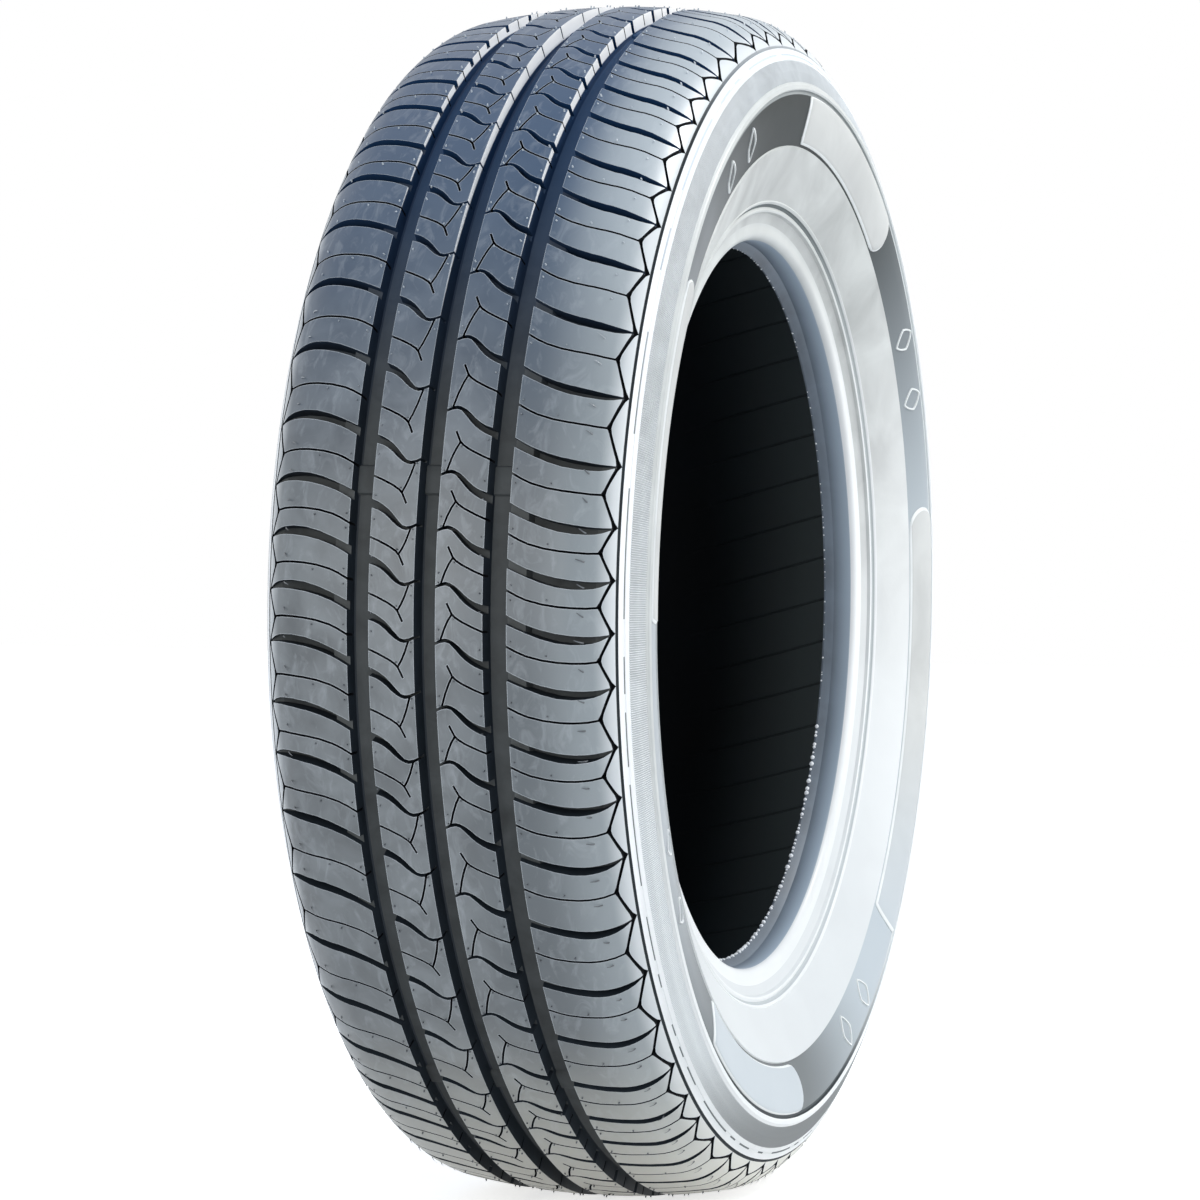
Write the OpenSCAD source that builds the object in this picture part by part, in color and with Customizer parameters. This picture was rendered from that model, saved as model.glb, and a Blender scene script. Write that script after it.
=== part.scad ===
// Radial car tyre for a fifteen inch rim, one moulded piece.
// It stands on its tread: spin axis along Y, middle of the tyre at the origin, Z up.

/* [Size] */
// Diameter over the middle of the tread
tyre_d = 621.5; // [612:0.5:632]
// Width over both sidewalls
section_w = 189; // [186:0.5:196]
// Diameter of the two bead seats
bead_d = 380.2; // [376:0.2:384]
// Width over both bead heels
heel_w = 138; // [134:0.5:142]
// Length of each bead's round seat
seat_w = 8.5; // [6:0.5:9.5]
// Width of each bead from heel to toe
bead_w = 18; // [17:0.5:20]
// How far the bead's toe reaches inside its seat
toe_drop = 3.8; // [2:0.2:5]
// Radius that rounds each bead heel
heel_r = 4.5; // [3:0.5:5]
// Height of the widest place, as a share of the sidewall
belly_at = 0.73; // [0.7:0.01:0.76]
// Roundness of the sidewall below the widest place, from 1 for a straight wall to 2 for a round one
belly_bend = 1.4; // [1.2:0.05:2]

/* [Walls] */
// Thickness of the sidewalls
wall_t = 6.5; // [5:0.5:8]
// Rubber and belts left under the deepest grooves
under_tread = 7; // [5:0.5:9]

/* [Tread] */
// Width of the tread between its two edge lines
tread_w = 169.2; // [166:0.2:172]
// Radius of the crown across the tread
crown_r = 344; // [300:1:450]
// Depth of the round-going grooves
groove_depth = 8; // [7:0.5:9]
// Width of the middle groove
centre_groove_w = 10.4; // [8:0.2:12]
// Width of the two outer grooves
side_groove_w = 11; // [9:0.2:12]
// Distance of each outer groove's middle from the tyre's middle
side_groove_y = 33.2; // [32:0.1:34]
// Slope taken off each groove wall towards its floor
groove_draft = 1.0; // [0.5:0.1:2]
// Fine line that closes the tread at each shoulder
edge_line_w = 1.6; // [0.8:0.1:2]

/* [Pattern] */
// Order of short, medium and long pitches round the tread
pitches = "SSMSMLLLMSSSMSMLLLLMSMLLMSSMLLLMSSSMLLMSSMLLLMSMLLLMSSMLLSSSSLMS";
// Angle of the first pitch above the front
first_pitch = 57.12; // [0:0.01:90]
// Angle between the two halves of the pattern
half_shift = 3.42; // [2:0.01:5]
// Angle from a shoulder groove's tip to the hook of the rib groove it runs on from
rib_shift = 4.35; // [4:0.01:4.6]
// Depth of the cross grooves in the shoulders
cross_depth = 7; // [5:0.1:7.5]
// Fall of the shoulder grooves' floors towards the tread's edge, as an angle
cross_fall = 12; // [11:0.5:13]
// Depth of the cross grooves and sipes in the two middle ribs
rib_depth = 6.2; // [4:0.1:6.8]
// Depth of the shoulder sipes
sipe_depth = 5.5; // [3:0.1:6.5]
// Width of every sipe
sipe_w = 1; // [0.6:0.1:1.2]
// Depth of the zigzag line round each shoulder
zigzag_depth = 1.6; // [1:0.1:2.5]
// Height of the wear bars over the groove floors
wear_bar_h = 1.6; // [1:0.1:2.4]
// Number of wear bars in each groove
wear_bars = 6; // [4:1:8]
// Angle of one wear bar above the front
first_wear_bar = 11.4; // [0:0.1:60]

/* [Sidewall] */
// Depth of the sunk band on each sidewall
band_sink = 1; // [0.3:0.1:1.2]
// Height of the sunk band's inner edge, as a share of the sidewall
band_in = 0.4925; // [0.46:0.0025:0.52]
// Height of the sunk band's outer edge, as a share of the sidewall
band_out = 0.7765; // [0.73:0.0025:0.81]
// Number of plain raised panels on each band
panels = 4; // [3:1:6]
// Length of each panel as an angle
panel_angle = 40; // [30:1:46]
// Angle from the front to the middle of the first panel
first_panel = 17; // [0:1:90]
// Height of the rim line's ring
rim_line_h = 0.9; // [0.5:0.1:1.5]
// Depth of the flat where the tyre rests
rest_flat = 1; // [0.6:0.1:1.6]

/* [Hidden] */
$fn = 180;

tyre_r = tyre_d/2;
bead_r = bead_d/2;
half_w = section_w/2;
heel_y = heel_w/2;
edge_y = tread_w/2;

// crown height at a distance from the middle, and the points where the shoulder turns down
function crown(y) = tyre_r - y*y/(2*crown_r);
turn_y = edge_y - 20.6;
turn_r = crown(turn_y);
round_y = edge_y - 7.6;
round_r = turn_r - 6.6;
lip_y = edge_y - 0.9;
lip_r = turn_r - 13.2;
edge_r = turn_r - 16.2;

// places up the sidewall, from the bead seat to the tread's edge
function side_r(share) = bead_r + share*(edge_r - bead_r);
belly_r = side_r(belly_at);
band_in_r = side_r(band_in);
ridge_r = side_r(band_out);

// outer face of the sidewall: one curve above the widest place and one below it
line_r = bead_r + 15.3;
line_y = heel_y + 3.9;
function side_y(r) = r > belly_r
    ? half_w - (half_w - edge_y)*pow((r - belly_r)/(edge_r - belly_r), 2)
    : half_w - (half_w - line_y)*pow((belly_r - r)/(belly_r - line_r), belly_bend);
function side_run(from, to, steps, sink = 0) =
    [for (i = [0 : steps]) let (r = from + (to - from)*i/steps) [r, side_y(r) - sink]];

side_in = side_groove_y - side_groove_w/2;
side_out = side_groove_y + side_groove_w/2;
centre_half = centre_groove_w/2;

outer_half = concat(
    [[tyre_r - groove_depth, 0],
     [tyre_r - groove_depth, centre_half - groove_draft],
     [crown(centre_half), centre_half],
     [crown(side_in), side_in],
     [crown(side_in) - groove_depth, side_in + groove_draft],
     [crown(side_in) - groove_depth, side_out - groove_draft],
     [crown(side_out), side_out],
     [turn_r, turn_y],
     [round_r, round_y],
     [lip_r, lip_y],
     [edge_r + 1.4, edge_y - 0.3],
     [edge_r + 0.6, edge_y - 1.3],
     [edge_r + 1.4 - edge_line_w, edge_y + 0.1]],
    side_run(edge_r - 1.2, ridge_r + 4, 5),
    [[ridge_r + 2.8, side_y(ridge_r + 2.8) + 0.7],
     [ridge_r + 0.8, side_y(ridge_r + 0.8) + 0.7]],
    side_run(ridge_r, band_in_r, 7, band_sink),
    side_run(band_in_r - 0.8, line_r + 5, 8),
    [[line_r + 4, side_y(line_r + 4) + rim_line_h*0.6],
     [line_r + 3, side_y(line_r + 3)],
     [line_r + 1, line_y + rim_line_h],
     [line_r - 0.6, line_y + rim_line_h*0.6],
     [line_r - 1.4, line_y - 1.2],
     [line_r - 5, heel_y + 1.2],
     [bead_r + heel_r + 3, heel_y]],
    [for (a = [0 : 15 : 90])
        [bead_r + heel_r*(1 - sin(a)), heel_y - heel_r*(1 - cos(a))]],
    [[bead_r, heel_y - heel_r - seat_w],
     [bead_r - toe_drop, heel_y - bead_w + 1],
     [bead_r - toe_drop + 0.3, heel_y - bead_w]]);

inner_top = crown(side_in) - groove_depth - under_tread;
liner_high = edge_r - 10.7;
liner_low = bead_r + 13 + (liner_high - bead_r - 13)*0.12;
inner_half = concat(
    [[bead_r + 6, heel_y - bead_w + 0.6],
     [bead_r + 13, heel_y - bead_w + 6]],
    [for (i = [0 : 7]) let (r = liner_low + (liner_high - liner_low)*i/7)
        [r, side_y(r) - wall_t - 2*pow(1 - i/7, 2)]],
    [[edge_r - 4.5, edge_y - 8.4],
     [inner_top - 7, edge_y - 17],
     [inner_top - 2.6, edge_y - 33],
     [inner_top, side_in],
     [inner_top + 0.6, 0]]);

half_profile = concat(outer_half, inner_half);
mirrored = [for (i = [len(half_profile) - 2 : -1 : 1]) [half_profile[i][0], -half_profile[i][1]]];

// pitch lengths keep the ratio 11 : 13 : 15 and always close the circle
function pitch_units(c) = c == "S" ? 11 : c == "M" ? 13 : 15;
count = len(pitches);
unit_starts = [for (i = 0, a = 0; i <= count; a = a + (i < count ? pitch_units(pitches[i]) : 0), i = i + 1) a];
unit_angle = 360/unit_starts[count];
function pitch_angle(k) = pitch_units(pitches[(k + count) % count])*unit_angle;
function pitch_start(k) = first_pitch - unit_starts[k]*unit_angle;

// closed outline of a slit that follows a line of points
function heading(p, q) = atan2(q[1] - p[1], q[0] - p[0]);
function slit(p, w) = let (n = len(p),
    a = [for (i = [0 : n - 1]) (heading(p[max(i - 1, 0)], p[max(i, 1)])
        + heading(p[min(i, n - 2)], p[min(i + 1, n - 1)]))/2])
    concat([for (i = [0 : n - 1]) p[i] + w/2*[-sin(a[i]), cos(a[i])]],
           [for (i = [n - 1 : -1 : 0]) p[i] - w/2*[-sin(a[i]), cos(a[i])]]);

// stands a cutter on the tread: angle up from the front, then distance and slope across the tread
module on_tread(angle, side) rotate([0, angle - 90, 0]) rotate([0, 0, side > 0 ? 0 : 180]) children();
module across(y, r, slope) translate([0, y, r]) rotate([-slope, 0, 0]) children();

shoulder_slope = atan2(round_r - lip_r, lip_y - round_y);
run_in = 3.4;
shoulder_l = edge_y - side_out;

module casing() {
    color("dimgray") rotate([90, 0, 0]) rotate_extrude() polygon(concat(half_profile, mirrored));
}

module wear_bar(y, floor_r, w) {
    rotate([90, 0, 0]) rotate_extrude(angle = 2.4)
        polygon([[floor_r - 2, -y - w/2 - 0.6], [floor_r + wear_bar_h, -y - w/2 - 0.6],
                 [floor_r + wear_bar_h, -y + w/2 + 0.6], [floor_r - 2, -y + w/2 + 0.6]]);
}

module wear_marks() {
    for (i = [0 : wear_bars - 1]) rotate([0, 360/wear_bars*i + first_wear_bar + 180, 0]) {
        wear_bar(0, tyre_r - groove_depth, centre_groove_w - 2*groove_draft);
        for (s = [-1, 1])
            wear_bar(s*side_groove_y, crown(side_in) - groove_depth, side_groove_w - 2*groove_draft);
    }
}

// plain raised panel: one end is straight, the end that points to the back is round
module panel(round_first) {
    low = band_in_r + 3;
    high = ridge_r - 3;
    middle = (low + high)/2;
    end_r = 0.57*(high - low);
    turn = end_r/middle*180/PI;
    round_at = round_first ? turn : panel_angle - turn;
    straight_at = round_first ? panel_angle : 0;
    intersection() {
        rotate([0, 0, -3]) rotate_extrude(angle = panel_angle + 6)
            polygon(concat(side_run(low, high, 4, -0.05), [[high, side_y(high) - 3], [low, side_y(low) - 3]]));
        linear_extrude(section_w) {
            polygon([[0, 0], 1.2*tyre_r*[cos(round_at), sin(round_at)], 1.2*tyre_r*[cos(straight_at), sin(straight_at)]]);
            translate(middle*[cos(round_at), sin(round_at)]) circle(end_r);
        }
    }
}

module side_panels() {
    for (s = [0, 180], i = [0 : panels - 1]) let (middle = 360/panels*i + first_panel)
        rotate([0, 0, s]) rotate([90, middle - 180 + panel_angle/2, 0]) panel(sin(middle) > 0);
}

// slanting groove from the outer round-going groove out to a point at the tread's edge
module shoulder_groove() {
    across(side_out, crown(side_out), cross_fall) translate([0, 0, -cross_depth]) linear_extrude(24)
        polygon([[-11, -run_in], [-4.2, 0.2*shoulder_l], [0.4, 0.55*shoulder_l], [0, shoulder_l + 0.2],
                 [4.8, 0.77*shoulder_l], [4.2, 0.48*shoulder_l], [0, 0.19*shoulder_l], [-6.2, -run_in]]);
}

// slit through the middle of a shoulder block, and the two sides of the zigzag that meets it
module shoulder_sipe(angle) {
    across(side_out, crown(side_out), cross_fall) translate([0, 0, -sipe_depth]) linear_extrude(20)
        polygon(slit([[-8.4, -run_in], [-1.4, 0.3*shoulder_l], [0.3, shoulder_l - 5]], sipe_w));
    reach = lip_r*sin(angle/2) - 1;
    across((round_y + lip_y)/2, (round_r + lip_r)/2, shoulder_slope) translate([0, 0, -zigzag_depth])
        linear_extrude(8) polygon(slit([[-reach, 3.4], [0, -2.9], [reach, 3.4]], sipe_w));
}

// hooked groove and branching sipe of a middle rib
module rib_groove(angle) {
    gap = tyre_r*angle*PI/180;
    fork = [-0.43*gap, 13.1];
    translate([0, 0, crown(side_in) - rib_depth]) linear_extrude(20) {
        polygon([[2.9, centre_half - 2], [0, 10], [1.8, 14.5], [8.4, 22.5], [10.9, side_in + 2.4],
                 [15.4, side_in + 2.4], [6.2, 15.4], [2.2, 10.8], [4.6, centre_half - 2]]);
        polygon(slit([fork + [-4.7, -2.2], fork, [fork[0] + 8.8, side_in + 2.4]], sipe_w));
        polygon(slit([fork + [0, -0.1], [1.6, 7.2]], sipe_w));
    }
}

module tread_cuts() {
    for (k = [0 : count - 1], side = [1, -1]) {
        tip = pitch_start(k) + (side > 0 ? half_shift : 0);
        next = pitch_angle(side > 0 ? k : k - 1);
        on_tread(tip, side) shoulder_groove();
        on_tread(tip - side*next/2, side) shoulder_sipe(next);
        on_tread(tip - side*rib_shift, side) rib_groove(next);
    }
}

module tyre() {
    difference() {
        union() {
            casing();
            wear_marks();
            side_panels();
        }
        tread_cuts();
        translate([0, 0, -3*tyre_r/2 + rest_flat]) cube([tyre_r, section_w, tyre_r], center = true);
    }
}

tyre();
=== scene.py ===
import bpy
import bmesh
import random
from math import sin, cos, tan, radians, degrees, pi, hypot
from mathutils import Matrix, Vector


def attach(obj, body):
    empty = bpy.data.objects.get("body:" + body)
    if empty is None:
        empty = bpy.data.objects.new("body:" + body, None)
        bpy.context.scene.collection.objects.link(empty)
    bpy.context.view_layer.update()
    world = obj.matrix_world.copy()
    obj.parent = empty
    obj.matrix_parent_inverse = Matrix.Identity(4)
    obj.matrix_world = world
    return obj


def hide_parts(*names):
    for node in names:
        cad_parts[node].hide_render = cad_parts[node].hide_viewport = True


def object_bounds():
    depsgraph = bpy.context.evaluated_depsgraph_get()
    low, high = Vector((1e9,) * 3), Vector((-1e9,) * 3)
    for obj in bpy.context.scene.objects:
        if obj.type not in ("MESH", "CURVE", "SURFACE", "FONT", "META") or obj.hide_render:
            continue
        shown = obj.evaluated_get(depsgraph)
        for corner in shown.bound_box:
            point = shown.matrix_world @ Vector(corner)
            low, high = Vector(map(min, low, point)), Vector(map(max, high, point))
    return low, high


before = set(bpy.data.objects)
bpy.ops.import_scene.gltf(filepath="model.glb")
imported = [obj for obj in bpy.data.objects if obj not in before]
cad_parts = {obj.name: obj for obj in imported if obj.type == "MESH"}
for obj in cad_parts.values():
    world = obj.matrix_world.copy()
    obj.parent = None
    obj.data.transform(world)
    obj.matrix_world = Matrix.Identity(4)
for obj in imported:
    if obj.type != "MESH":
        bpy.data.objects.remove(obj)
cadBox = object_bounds()
print("frame loaded")

# shared helpers: the tyre's lengths are in mm, and its angles in degrees up from the tread's front

def mix(a, b, t):
    return a + (b - a) * t


def spread(a, b, steps):
    return [mix(a, b, i / steps) for i in range(steps + 1)]


def smoothCurve(points, steps):
    # rounds a line of points into a curve that still passes through each of them
    out = []
    for i in range(len(points) - 1):
        near = (points[max(i - 1, 0)], points[i], points[i + 1], points[min(i + 2, len(points) - 1)])
        for j in range(steps):
            t = j / steps
            out.append(tuple(0.5 * (2 * b + (c - a) * t + (2 * a - 5 * b + 4 * c - d) * t * t
                                    + (3 * b - a - 3 * c + d) * t ** 3) for a, b, c, d in zip(*near)))
    return out + [tuple(points[-1])]


def lookUp(table, x):
    # straight-line reading of a table of (x, value) pairs
    if x <= table[0][0]:
        return table[0][1]
    for (x0, v0), (x1, v1) in zip(table, table[1:]):
        if x <= x1:
            return mix(v0, v1, (x - x0) / (x1 - x0)) if x1 > x0 else v1
    return table[-1][1]


def onWheel(angle, y, r):
    a = radians(angle)
    return (-r * cos(a), y, r * sin(a))


def buildObject(name, verts, faces, finishes, faceFinish=None, smoothAngle=None):
    mesh = bpy.data.meshes.new(name)
    mesh.from_pydata([Vector(v) * 0.001 for v in verts], [], faces)
    for f in finishes:
        mesh.materials.append(f)
    if faceFinish:
        mesh.polygons.foreach_set("material_index", faceFinish)
    bm = bmesh.new()
    bm.from_mesh(mesh)
    bmesh.ops.recalc_face_normals(bm, faces=bm.faces)
    bm.to_mesh(mesh)
    bm.free()
    obj = bpy.data.objects.new(name, mesh)
    bpy.context.scene.collection.objects.link(obj)
    if smoothAngle:
        shadeByAngle(obj, smoothAngle)
    return obj


def shadeByAngle(obj, angle):
    obj.data.shade_smooth()
    obj.data.set_sharp_from_angle(angle=radians(angle))


class Shapes:
    # gathers many small closed shapes into one mesh
    def __init__(self):
        self.verts, self.faces, self.finish = [], [], []

    def tube(self, rows, closed=False, finish=None, finishOf=None):
        # finish: one per side of the section; finishOf(i, k) overrules it for side k after row i
        base, n, count = len(self.verts), len(rows[0]), len(rows)
        for row in rows:
            self.verts.extend(row)
        for i in range(count if closed else count - 1):
            j = (i + 1) % count
            for k in range(n):
                m = (k + 1) % n
                self.faces.append((base + i * n + k, base + i * n + m, base + j * n + m, base + j * n + k))
                special = finishOf(i, k) if finishOf else None
                self.finish.append(special if special is not None else finish[k] if finish else 0)
        if not closed:
            self.faces.append(tuple(base + k for k in reversed(range(n))))
            self.faces.append(tuple(base + (count - 1) * n + k for k in range(n)))
            self.finish += [finish[-1] if finish else 0] * 2

    def build(self, name, finishes, smoothAngle=None):
        return buildObject(name, self.verts, self.faces, finishes, self.finish, smoothAngle)


# finishes

# patches: size in mm and how far they stray from the colour; grain: size and height in mm
# paintedLight: painted light and shade, along "X", "Y", "Z" or "out" (across, either way) in mm or "turn" in
# degrees,
#        from, to, colour there, share and, where it covers only a part, a second direction with its own from
#        and to
# wornAndSheen: colour along the edges, where the rubber is worn and a painted highlight lies, and of the
# scuffs;
# scuffs: share; glint: colour of the walls that catch light from the -Y side
finishes = {
    "treadTop": {
        "colour": (0.155, 0.170, 0.178), "rough": 0.36, "gloss": 0.5,
        "patches": (24, 0.28), "grain": (0.9, 0.05),
        # painted light and shade: darker on the -Y middle rib, a painted blue sky reflection towards the top,
        # lighter on the -Y shoulder with a painted sheen up high, lighter beyond the zigzag, painted warm
        # floor light at the bottom
        "paintedLight": [("Y", -4, -38, (0.104, 0.120, 0.131), 0.9),
                  ("Z", 10, 270, (0.018, 0.066, 0.150), 0.92),
                  ("Y", -44, -80, (0.29, 0.325, 0.34), 0.9),
                  ("Y", -34, -66, (0.44, 0.49, 0.52), 0.8, ("Z", 70, 230)),
                  ("out", 76, 84.8, (0.62, 0.65, 0.66), 1),
                  ("Z", -190, -325, (0.62, 0.61, 0.53), 1)],
        "wornAndSheen": (0.52, 0.56, 0.59), "scuffs": 0.36,
    },
    "grooveWall": {
        # dark as painted shade in the grooves, bluer towards the top as a painted sky reflection; the glint
        # is a painted highlight
        "colour": (0.016, 0.022, 0.029), "rough": 0.5, "gloss": 0.2,
        "patches": (20, 0.2), "grain": (1.4, 0.05),
        "paintedLight": [("Z", 60, 280, (0.006, 0.032, 0.092), 1)], "glint": (0.95, 0.95, 0.94),
    },
    "grooveFloor": {
        # dark as painted shade in the grooves, bluer towards the top as a painted sky reflection
        "colour": (0.050, 0.055, 0.056), "rough": 0.6, "gloss": 0.25,
        "patches": (16, 0.3), "grain": (1.4, 0.05),
        "paintedLight": [("Z", 60, 280, (0.014, 0.054, 0.135), 1)],
    },
    "tieBar": {
        # darker than the tread as painted shade in the cross grooves, darker and bluer towards the top as
        # painted light
        "colour": (0.075, 0.081, 0.081), "rough": 0.6, "gloss": 0.25,
        "patches": (16, 0.3), "grain": (1.2, 0.05),
        "paintedLight": [("Z", 60, 200, (0.035, 0.050, 0.080), 1)],
    },
    # near-black: painted shade in the slits
    "slitShade": {
        "colour": (0.006, 0.007, 0.009), "rough": 0.8, "gloss": 0.1,
        "patches": (16, 0.2), "grain": (1.2, 0.03),
    },
    "sideSmooth": {
        # far paler than the rubber as painted light and sheen from the -Y side, paler still lower down and
        # towards the back
        "colour": (0.465, 0.48, 0.465), "rough": 0.42, "gloss": 0.35,
        "patches": (34, 0.2), "grain": (1.5, 0.04),
        "paintedLight": [("Z", 60, -100, (0.64, 0.665, 0.67), 0.85), ("X", 130, 270, (0.84, 0.85, 0.84), 0.6)],
    },
    "gripGround": {
        # pale as painted light and sheen, paler lower down, and darker at the very bottom as painted shade
        "colour": (0.46, 0.48, 0.485), "rough": 0.55, "gloss": 0.2,
        "patches": (12, 0.12), "grain": (1.2, 0.05),
        "paintedLight": [("Z", -30, -120, (0.53, 0.56, 0.57), 0.9), ("Z", -210, -275, (0.19, 0.20, 0.20), 0.85)],
    },
    "gripRib": {
        # pale as painted light and sheen, paler lower down, and darker at the very bottom as painted shade
        "colour": (0.72, 0.74, 0.74), "rough": 0.5, "gloss": 0.25,
        "patches": (14, 0.08), "grain": (1.2, 0.03),
        "paintedLight": [("Z", -30, -120, (0.76, 0.79, 0.79), 0.9), ("Z", -210, -275, (0.30, 0.31, 0.31), 0.85)],
    },
    "sideBright": {
        # painted highlight on the ridges and the heel, paler still towards the back and lower down
        "colour": (0.54, 0.56, 0.545), "rough": 0.38, "gloss": 0.4,
        "patches": (30, 0.07), "grain": (1.2, 0.03),
        "paintedLight": [("X", 60, 230, (0.86, 0.87, 0.87), 0.9), ("Z", -40, -240, (0.80, 0.82, 0.82), 0.8)],
    },
    "litBand": {
        # pale as painted light and sheen on the dark rubber, paler still at the front
        "colour": (0.75, 0.77, 0.77), "rough": 0.4, "gloss": 0.35,
        "patches": (26, 0.06), "grain": (1.2, 0.03),
        "paintedLight": [("X", -170, -280, (0.91, 0.92, 0.92), 1)],
    },
    "sunkBand": {
        # painted light and shade round the band: darkest towards the top front, paler towards the back and
        # the lower front
        "colour": (0.21, 0.225, 0.235), "rough": 0.5, "gloss": 0.15,
        "patches": (50, 0.15), "grain": (0.8, 0.05),
        "paintedLight": [("turn", 30, 74, (0.024, 0.029, 0.029), 1),
                  ("turn", 112, 186, (0.46, 0.51, 0.54), 1),
                  ("turn", 232, 268, (0.15, 0.165, 0.17), 1),
                  ("turn", 300, 345, (0.42, 0.45, 0.47), 1)],
    },
    "bandEdge": {
        # painted shadow along the band's outer step, darkest at the bottom, paler towards the back
        "colour": (0.28, 0.30, 0.30), "rough": 0.55, "gloss": 0.15,
        "patches": (50, 0.15), "grain": (0.8, 0.05),
        "paintedLight": [("Z", -60, -200, (0.045, 0.055, 0.060), 1), ("X", 70, 200, (0.66, 0.69, 0.69), 1)],
    },
    "rimChannel": {
        # darker as painted shade in the channel, paler towards the back and lower down as painted light
        "colour": (0.12, 0.14, 0.14), "rough": 0.55, "gloss": 0.12,
        "patches": (20, 0.15), "grain": (1.0, 0.04),
        "paintedLight": [("X", 20, 190, (0.55, 0.58, 0.58), 0.9), ("Z", 40, -190, (0.50, 0.53, 0.54), 0.9)],
    },
    "edgeLine": {
        # dark as painted shade in the edge step, paler near the top as painted light
        "colour": (0.040, 0.047, 0.052), "rough": 0.7, "gloss": 0.15,
        "patches": (20, 0.1), "grain": (1.2, 0.03),
        "paintedLight": [("Z", 220, 290, (0.45, 0.48, 0.50), 0.9)],
    },
    "dashLine": {
        # darker as painted shade in the fine groove, pale blue towards the top as painted light
        "colour": (0.16, 0.18, 0.185), "rough": 0.7, "gloss": 0.15,
        "patches": (20, 0.1), "grain": (1.2, 0.03),
        "paintedLight": [("Z", 60, 220, (0.60, 0.66, 0.73), 1)],
    },
    "beadBase": {
        # paler towards the heel as painted light
        "colour": (0.085, 0.106, 0.132), "rough": 0.45, "gloss": 0.3,
        "patches": (24, 0.25), "grain": (1.4, 0.05),
        "paintedLight": [("out", 52, 67, (0.36, 0.43, 0.50), 1)],
    },
    "liner": {
        # near-black as painted shade inside the tyre, paler towards -Y as painted light
        "colour": (0.004, 0.006, 0.008), "rough": 0.7, "gloss": 0.1,
        "patches": (60, 0.35), "grain": (1.6, 0.08),
        "paintedLight": [("Y", 60, -70, (0.10, 0.12, 0.125), 1)],
    },
    "linerRib": {
        # near-black as painted shade inside the tyre, paler towards -Y as painted light
        "colour": (0.006, 0.008, 0.010), "rough": 0.7, "gloss": 0.1,
        "patches": (60, 0.35), "grain": (1.6, 0.08),
        "paintedLight": [("Y", 60, -70, (0.060, 0.074, 0.078), 1)],
    },
    "panelFace": {
        # pale as painted light and sheen, bluer lower down
        "colour": (0.52, 0.53, 0.515), "rough": 0.45, "gloss": 0.3,
        "patches": (40, 0.1), "grain": (1.0, 0.04),
        "paintedLight": [("Z", -40, -200, (0.49, 0.535, 0.56), 1)],
    },
    "panelRim": {
        # paler than the panel faces as a painted highlight on the rounded borders
        "colour": (0.74, 0.76, 0.75), "rough": 0.4, "gloss": 0.4,
        "patches": (20, 0.06), "grain": (1.0, 0.03),
    },
    "ventRubber": {
        # paler towards the top as a painted glint
        "colour": (0.10, 0.11, 0.12), "rough": 0.3, "gloss": 0.5,
        "patches": (5, 0.2), "grain": (1.0, 0.02),
        "paintedLight": [("Z", 40, 200, (0.55, 0.60, 0.64), 1)],
    },
    "nibWhite": {
        "colour": (0.78, 0.80, 0.82), "rough": 0.5, "gloss": 0.4,
        "patches": (5, 0.1), "grain": (1.0, 0.02),
    },
}


def addNode(mat, kind, **values):
    node = mat.node_tree.nodes.new(kind)
    for key, value in values.items():
        if hasattr(node, key):
            setattr(node, key, value)
        else:
            node.inputs[key.replace("_", " ")].default_value = value
    return node


def rampAlong(mat, place, axis, start, end, share=1):
    # 0 before start, rising softly to the share at end
    link = mat.node_tree.links.new
    split = addNode(mat, "ShaderNodeSeparateXYZ")
    link(place, split.inputs["Vector"])
    value = split.outputs[{"out": "Y", "turn": "X"}.get(axis, axis)]
    unit = 0.001
    if axis == "out":
        either = addNode(mat, "ShaderNodeMath", operation="ABSOLUTE")
        link(value, either.inputs[0])
        value = either.outputs["Value"]
    if axis == "turn":
        unit = radians(1)
        ahead = addNode(mat, "ShaderNodeMath", operation="MULTIPLY")
        ahead.inputs[1].default_value = -1
        spin = addNode(mat, "ShaderNodeMath", operation="ARCTAN2")
        whole = addNode(mat, "ShaderNodeMath", operation="WRAP")
        whole.inputs[1].default_value = 2 * pi
        whole.inputs[2].default_value = 0
        link(value, ahead.inputs[0])
        link(split.outputs["Z"], spin.inputs[0])
        link(ahead.outputs["Value"], spin.inputs[1])
        link(spin.outputs["Value"], whole.inputs[0])
        value = whole.outputs["Value"]
    ramp = addNode(mat, "ShaderNodeMapRange", interpolation_type="SMOOTHSTEP",
                   From_Min=start * unit, From_Max=end * unit, To_Max=share)
    link(value, ramp.inputs["Value"])
    return ramp.outputs["Result"]


wearAndEdgeSheen = {
    "edge": 0.7,               # how far from an edge the rubber is rubbed and the painted highlight reaches
    "edgeShare": 0.85,
    "edgeBend": (0.995, 0.85),     # cosine between the face and the rounded edge where it starts and is full
    "scuffScale": (60, 110, 60),
    "scuffRange": (0.52, 0.85),    # share of the noise at which a scuff starts and is full
}
roughSpread = 0.08             # the patches are that much rougher or smoother
grainStrength = 0.6


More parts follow.
